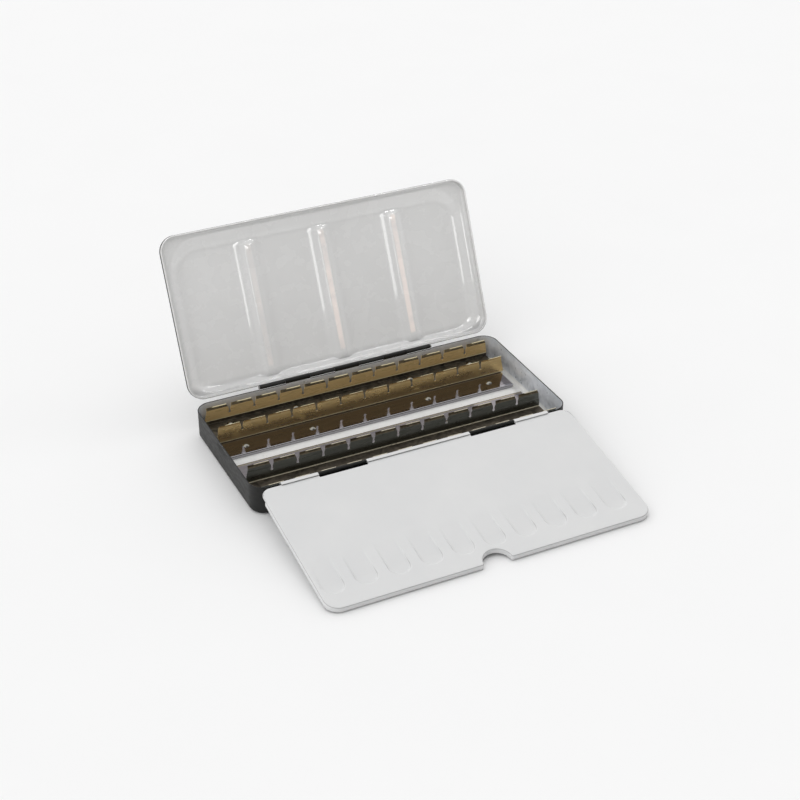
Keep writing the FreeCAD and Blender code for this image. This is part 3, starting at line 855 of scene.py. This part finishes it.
def bare_tinplate():
    """Mottled tin, paler up the walls and brightest on the open floor."""
    look = Look("bare_tinplate")
    flow = look.levels(look.noise(5, 2, distortion=0.5), 0, 1, 0.38, 0.62)
    flakes = look.blend(flow, (0.42, 0.45, 0.49), (0.80, 0.82, 0.86))
    cloud = look.noise(7, 6, distortion=0.8)
    mottled = look.blend(cloud, flakes, (0.66, 0.68, 0.71))
    height = look.along((0, 0, 1))
    pale = look.levels(height, 0, 0.55, PALE_WALL_FROM, PALE_WALL_FROM + 5)
    walls = look.blend(pale, mottled, (0.84, 0.87, 0.92))
    floor = look.levels(height, 0.8, 0, FLOOR_TOP, FLOOR_TOP + 0.4)
    look.colour(look.blend(floor, walls, (0.86, 0.85, 0.82)))
    sheen = look.levels(pale, 0.6, 0.12, 0, 0.75)
    look.join(look.calc("SUBTRACT", sheen, floor), look.shader.inputs["Metallic"])
    look.roughness(look.levels(look.noise(4, 6), 0.26, 0.46))
    look.bump(look.noise(2.4, 2), 0.03, 0.2)
    look.bump(look.noise(14, 3), 0.3, 0.3)
    return look.material


def rail_tin(name, bend_top, floor, wall, flare, edge):
    """Lacquered tinplate of a pan rail. Each of its parts has a dark and a light colour.

    The floor of the channel is darkest, and its colour runs up the wall to bend_top as a painted
    reflection of the floor. The flared tops are rubbed. The turned edge of each tab, a line
    just under bend_top and the foot of the wall on the gutter side carry a painted highlight.
    """
    look = Look(name, metallic=1.0)
    streaks = look.noise(2.2, 6, (0.12, 1, 1))
    patches = look.noise(5, 5, distortion=1.2)
    height = look.along((0, 0, 1))
    along_row = look.along((1, 0, 0), -RAIL_END)
    tab = look.calc("FRACT", look.calc("DIVIDE", along_row, TAB_PITCH))
    lit = look.band(tab, *LIT_TAB_SHARE, 0.03)
    shade = look.levels(patches, 0, 1, 0.35, 0.65)
    colours = [look.blend(shade, *floor), look.blend(streaks, *wall), look.blend(shade, *flare)]
    from_middle = look.calc("ABSOLUTE", look.along((0, 1, 0)))
    in_channel = look.above(from_middle, CHANNEL_START, 0.1)
    # Painted reflection: the dark floor colour runs up the channel wall to bend_top
    low = look.levels(height, 1, 0, bend_top - 0.1, bend_top + 0.1)
    floor_and_painted_reflection = look.calc("MULTIPLY", low, in_channel)
    paint = look.blend(floor_and_painted_reflection, colours[1], colours[0])
    # Painted highlight: a line just under bend_top in the channel, and along the foot on the gutter
    # side
    bend_highlight = look.band(height, bend_top - BEND_LINE, bend_top, 0.1)
    foot_highlight = look.levels(height, 0.7, 0, FOOT_TOP - 0.1, FOOT_TOP + 0.1)
    gutter_side = look.calc("SUBTRACT", 1.0, in_channel)
    bend_highlight = look.calc("MAXIMUM", look.calc("MULTIPLY", bend_highlight, in_channel),
                    look.calc("MULTIPLY", foot_highlight, gutter_side))
    paint = look.blend(bend_highlight, paint, edge)
    leaning = look.above(look.facing_up(), 0.3, 0.05)
    flared = look.calc("MULTIPLY", look.above(height, FLARE_START, 0.2), leaning)
    paint = look.blend(flared, paint, colours[2])
    # Painted highlight on the turned top edge of each tab, over the lit share of its pitch
    edge_highlight = look.calc("MULTIPLY", look.above(height, EDGE_START, 0.05), lit)
    look.colour(look.blend(edge_highlight, paint, edge))
    sheen = look.levels(look.noise(3, 6, (0.2, 1, 1)), 0.22, 0.36)
    lacquer = look.calc("MULTIPLY", look.calc("SUBTRACT", 1.0, low), in_channel)
    chalky = look.calc("MAXIMUM", look.calc("MULTIPLY", lacquer, LACQUER_SHARE), bend_highlight)
    look.join(look.calc("SUBTRACT", 1.0, chalky), look.shader.inputs["Metallic"])
    dull = look.calc("MULTIPLY", floor_and_painted_reflection, 0.25)
    look.roughness(look.calc("ADD", sheen, dull))
    look.bump(streaks, 0.006, 0.12)
    look.bump(look.noise(9, 2), 0.05, 0.25)
    return look.material


def base_tin(name, inner_edge, lip_paint):
    """Dark lacquered plate, polished like a mirror, bare along its turned edge and its ends, with a
    painted shade line for a groove along the turned edge.
    """
    look = Look(name, metallic=1.0)
    streaks = look.noise(2.2, 6, (0.12, 1, 1))
    plate = look.blend(streaks, (0.19, 0.172, 0.185), (0.28, 0.26, 0.27))
    from_middle = look.calc("ABSOLUTE", look.along((0, 1, 0)))
    from_centre = look.calc("ABSOLUTE", look.along((1, 0, 0)))
    from_edge = look.calc("SUBTRACT", from_middle, inner_edge)
    lip = look.levels(from_edge, 1, 0, BASE_LIP_WIDTH - 0.1, BASE_LIP_WIDTH + 0.1)
    paint = look.blend(lip, plate, lip_paint)
    # Painted shade: a dark line where a groove runs along the turned edge
    groove_shade = look.band(from_edge, *BASE_LIP_GROOVE, 0.12)
    paint = look.blend(groove_shade, paint, (0.10, 0.09, 0.10))
    end = look.above(from_centre, BASE_END_START, 0.1)
    look.colour(look.blend(end, paint, (0.80, 0.79, 0.76)))
    look.roughness(look.levels(look.noise(3, 6, (0.2, 1, 1)), 0.05, 0.13))
    look.bump(streaks, 0.02, 0.25)
    look.bump(look.noise(9, 3), 0.05, 0.3)
    return look.material


def polished_steel():
    look = Look("rivet_steel", metallic=1.0)
    look.colour(look.blend(look.noise(1.2, 5), (0.16, 0.155, 0.14), (0.34, 0.33, 0.30)))
    look.roughness(look.levels(look.noise(0.8, 4), 0.05, 0.14))
    look.bump(look.noise(0.5, 3), 0.02, 0.5)
    return look.material


def drawn_wire():
    look = Look("hinge_wire", metallic=1.0)
    look.colour(look.blend(look.noise(1.5, 5), (0.20, 0.20, 0.20), (0.42, 0.42, 0.41)))
    look.roughness(look.levels(look.noise(1, 5, (0.1, 1, 1)), 0.25, 0.45))
    look.bump(look.noise(0.4, 3, (0.08, 1, 1)), 0.02, 0.6)
    return look.material


def floor_look():
    look = Look("pale_floor")
    look.colour(look.blend(look.noise(60, 3), (0.93, 0.93, 0.93), (0.95, 0.95, 0.95)))
    look.roughness(look.levels(look.noise(30, 3), 0.6, 0.7))
    return look.material


def dress(node, material):
    piece = frame["nodes"][node]
    for slot in piece.material_slots:
        slot.material = material


# ---------------------------------------------------------------- stage

CAMERA_PLACE = (-0.3578, -0.7662, 0.5479)
CAMERA_TURN_DEG = (58.1726, 0.0384, -25.846)
CAMERA_LENS = 72.804
SENSOR_WIDTH = 36.0
FLOOR_REACH = 30.0


def add_camera():
    data = bpy.data.cameras.new("camera")
    data.sensor_width = SENSOR_WIDTH
    data.lens = CAMERA_LENS
    data.clip_start, data.clip_end = 0.01, 20
    camera = bpy.data.objects.new("camera", data)
    camera.location = CAMERA_PLACE
    camera.rotation_euler = [math.radians(turn) for turn in CAMERA_TURN_DEG]
    bpy.context.scene.collection.objects.link(camera)
    bpy.context.scene.camera = camera


def add_area_light(name, place, size, power, receivers):
    data = bpy.data.lights.new(name, "AREA")
    data.shape = "RECTANGLE"
    data.size, data.size_y = size
    data.energy = power
    light = bpy.data.objects.new(name, data)
    light.location = place
    aim = Vector(LIGHT_TARGET) - Vector(place)
    light.rotation_euler = aim.to_track_quat("-Z", "Y").to_euler()
    light.light_linking.receiver_collection = receivers
    bpy.context.scene.collection.objects.link(light)


LIGHT_TARGET = (0.0, 0.05, 0.05)
LIGHTS = (
    ("front_bright", (0.15, -1.2, 0.92), (0.12, 0.6), 1.4),
    ("front_soft", (-0.03, -1.2, 0.84), (0.26, 0.75), 1.5),
    ("overhead_strip", (0.42, -0.42, 0.95), (0.42, 0.035), 1.4),
)
DOME_STRENGTH = 1.12
DOME_LEVELS = ((0.0, 0.85), (0.25, 0.98), (0.55, 1.1), (1.0, 1.15))
DOME_SHADE_TOWARDS = (0.30, -0.80, 0.52)
DOME_SHADE_SPREAD = (0.62, 0.86)
DOME_SHADE = 0.2
DOME_BACKDROP = (0.86, 0.86, 0.86)


def add_dome():
    """A pale studio dome, brightest overhead, with a dark patch in front for tin to mirror.

    The camera itself sees a plain backdrop.
    """
    world = bpy.data.worlds.new("studio")
    world.use_nodes = True
    nodes, link = world.node_tree.nodes, world.node_tree.links.new
    place = nodes.new("ShaderNodeTexCoord").outputs["Generated"]
    split = nodes.new("ShaderNodeSeparateXYZ")
    ramp_node = nodes.new("ShaderNodeValToRGB")
    link(place, split.inputs["Vector"])
    link(split.outputs["Z"], ramp_node.inputs["Fac"])
    stops = ramp_node.color_ramp.elements
    while len(stops) < len(DOME_LEVELS):
        stops.new(0.5)
    for stop, (height, level) in zip(stops, DOME_LEVELS):
        stop.position = height
        stop.color = (level, level, level, 1)
    towards = nodes.new("ShaderNodeVectorMath")
    towards.operation = "DOT_PRODUCT"
    towards.inputs[1].default_value = DOME_SHADE_TOWARDS
    link(place, towards.inputs[0])
    shade = nodes.new("ShaderNodeMapRange")
    shade.interpolation_type = "SMOOTHSTEP"
    limits = zip(("From Min", "From Max", "To Min", "To Max"), (*DOME_SHADE_SPREAD, 1.0, DOME_SHADE))
    for socket, value in limits:
        shade.inputs[socket].default_value = value
    link(towards.outputs["Value"], shade.inputs["Value"])
    scaled = nodes.new("ShaderNodeVectorMath")
    scaled.operation = "SCALE"
    link(ramp_node.outputs["Color"], scaled.inputs[0])
    link(shade.outputs["Result"], scaled.inputs["Scale"])
    seen = nodes.new("ShaderNodeMix")
    seen.data_type = "RGBA"
    seen.inputs[7].default_value = (*DOME_BACKDROP, 1)
    link(nodes.new("ShaderNodeLightPath").outputs["Is Camera Ray"], seen.inputs[0])
    link(scaled.outputs["Vector"], seen.inputs[6])
    link(seen.outputs[2], nodes["Background"].inputs["Color"])
    nodes["Background"].inputs["Strength"].default_value = DOME_STRENGTH
    bpy.context.scene.world = world


def add_stage(lid_pieces):
    mesh = bpy.data.meshes.new("floor")
    corners = [(x * FLOOR_REACH, y * FLOOR_REACH, 0) for x, y in ((-1, -1), (1, -1), (1, 1), (-1, 1))]
    mesh.from_pydata(corners, [], [(0, 1, 2, 3)])
    mesh.materials.append(floor_look())
    floor = bpy.data.objects.new("floor", mesh)
    bpy.context.scene.collection.objects.link(floor)
    add_dome()
    bpy.context.scene.view_settings.view_transform = "Standard"
    lid_only = bpy.data.collections.new("lit_by_strips")
    for piece in lid_pieces:
        lid_only.objects.link(piece)
    for name, place, size, power in LIGHTS:
        add_area_light(name, place, size, power, lid_only)


# ---------------------------------------------------------------- assembly

lid_white = lid_enamel()
palette_white = palette_enamel()
black = black_enamel()
bare = bare_tinplate()
# Rail colours: channel floor, also used as the painted reflection of the floor up the wall; wall;
# flared top; then the painted highlight colour
gold = rail_tin("gold_tinplate", 8.2, ((0.085, 0.078, 0.062), (0.20, 0.18, 0.145)),
                ((0.66, 0.475, 0.225), (0.84, 0.62, 0.30)),
                ((0.05, 0.038, 0.02), (0.13, 0.10, 0.05)), (1.0, 0.90, 0.58))
olive = rail_tin("olive_tinplate", 6.3, ((0.11, 0.095, 0.075), (0.22, 0.19, 0.15)),
                 ((0.13, 0.137, 0.122), (0.22, 0.225, 0.205)),
                 ((0.06, 0.048, 0.03), (0.15, 0.12, 0.075)), (0.85, 0.78, 0.60))
rear_base = base_tin("rear_dark_tinplate", REAR_BASE_EDGE, (0.36, 0.35, 0.37))
front_base = base_tin("front_dark_tinplate", FRONT_BASE_EDGE, (0.34, 0.30, 0.22))
steel = polished_steel()
wire = drawn_wire()

lid = make_lid(lid_white, black)
lid_knuckles = make_lid_knuckles(black)
for piece in (lid, lid_knuckles):
    swing(piece, LID_AXIS, -LID_OPEN_DEG)
    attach(piece, "lid")
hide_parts("lid_shell")

palette = make_palette(palette_white)
palette_knuckles = make_palette_knuckles(palette_white)
for piece in (palette, palette_knuckles):
    swing(piece, PALETTE_AXIS, PALETTE_DROOP_DEG)
    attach(piece, "palette")
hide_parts("mixing_palette")

tray = make_tray(bare, black)
for piece in [tray] + make_tray_knuckles(black):
    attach(piece, "tray")
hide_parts("tray_shell")

for row, rail_look, base_look in (("rear", gold, rear_base), ("front", olive, front_base)):
    dress(row + "_pan_rail", rail_look)
    dress(row + "_insert_base", base_look)
    dress(row + "_rail_rivets", steel)
    dress(row + "_gutter_rivets", steel)
dress("lid_hinge_pin", wire)
dress("palette_hinge_pin", wire)

add_stage([lid, lid_knuckles])
add_camera()
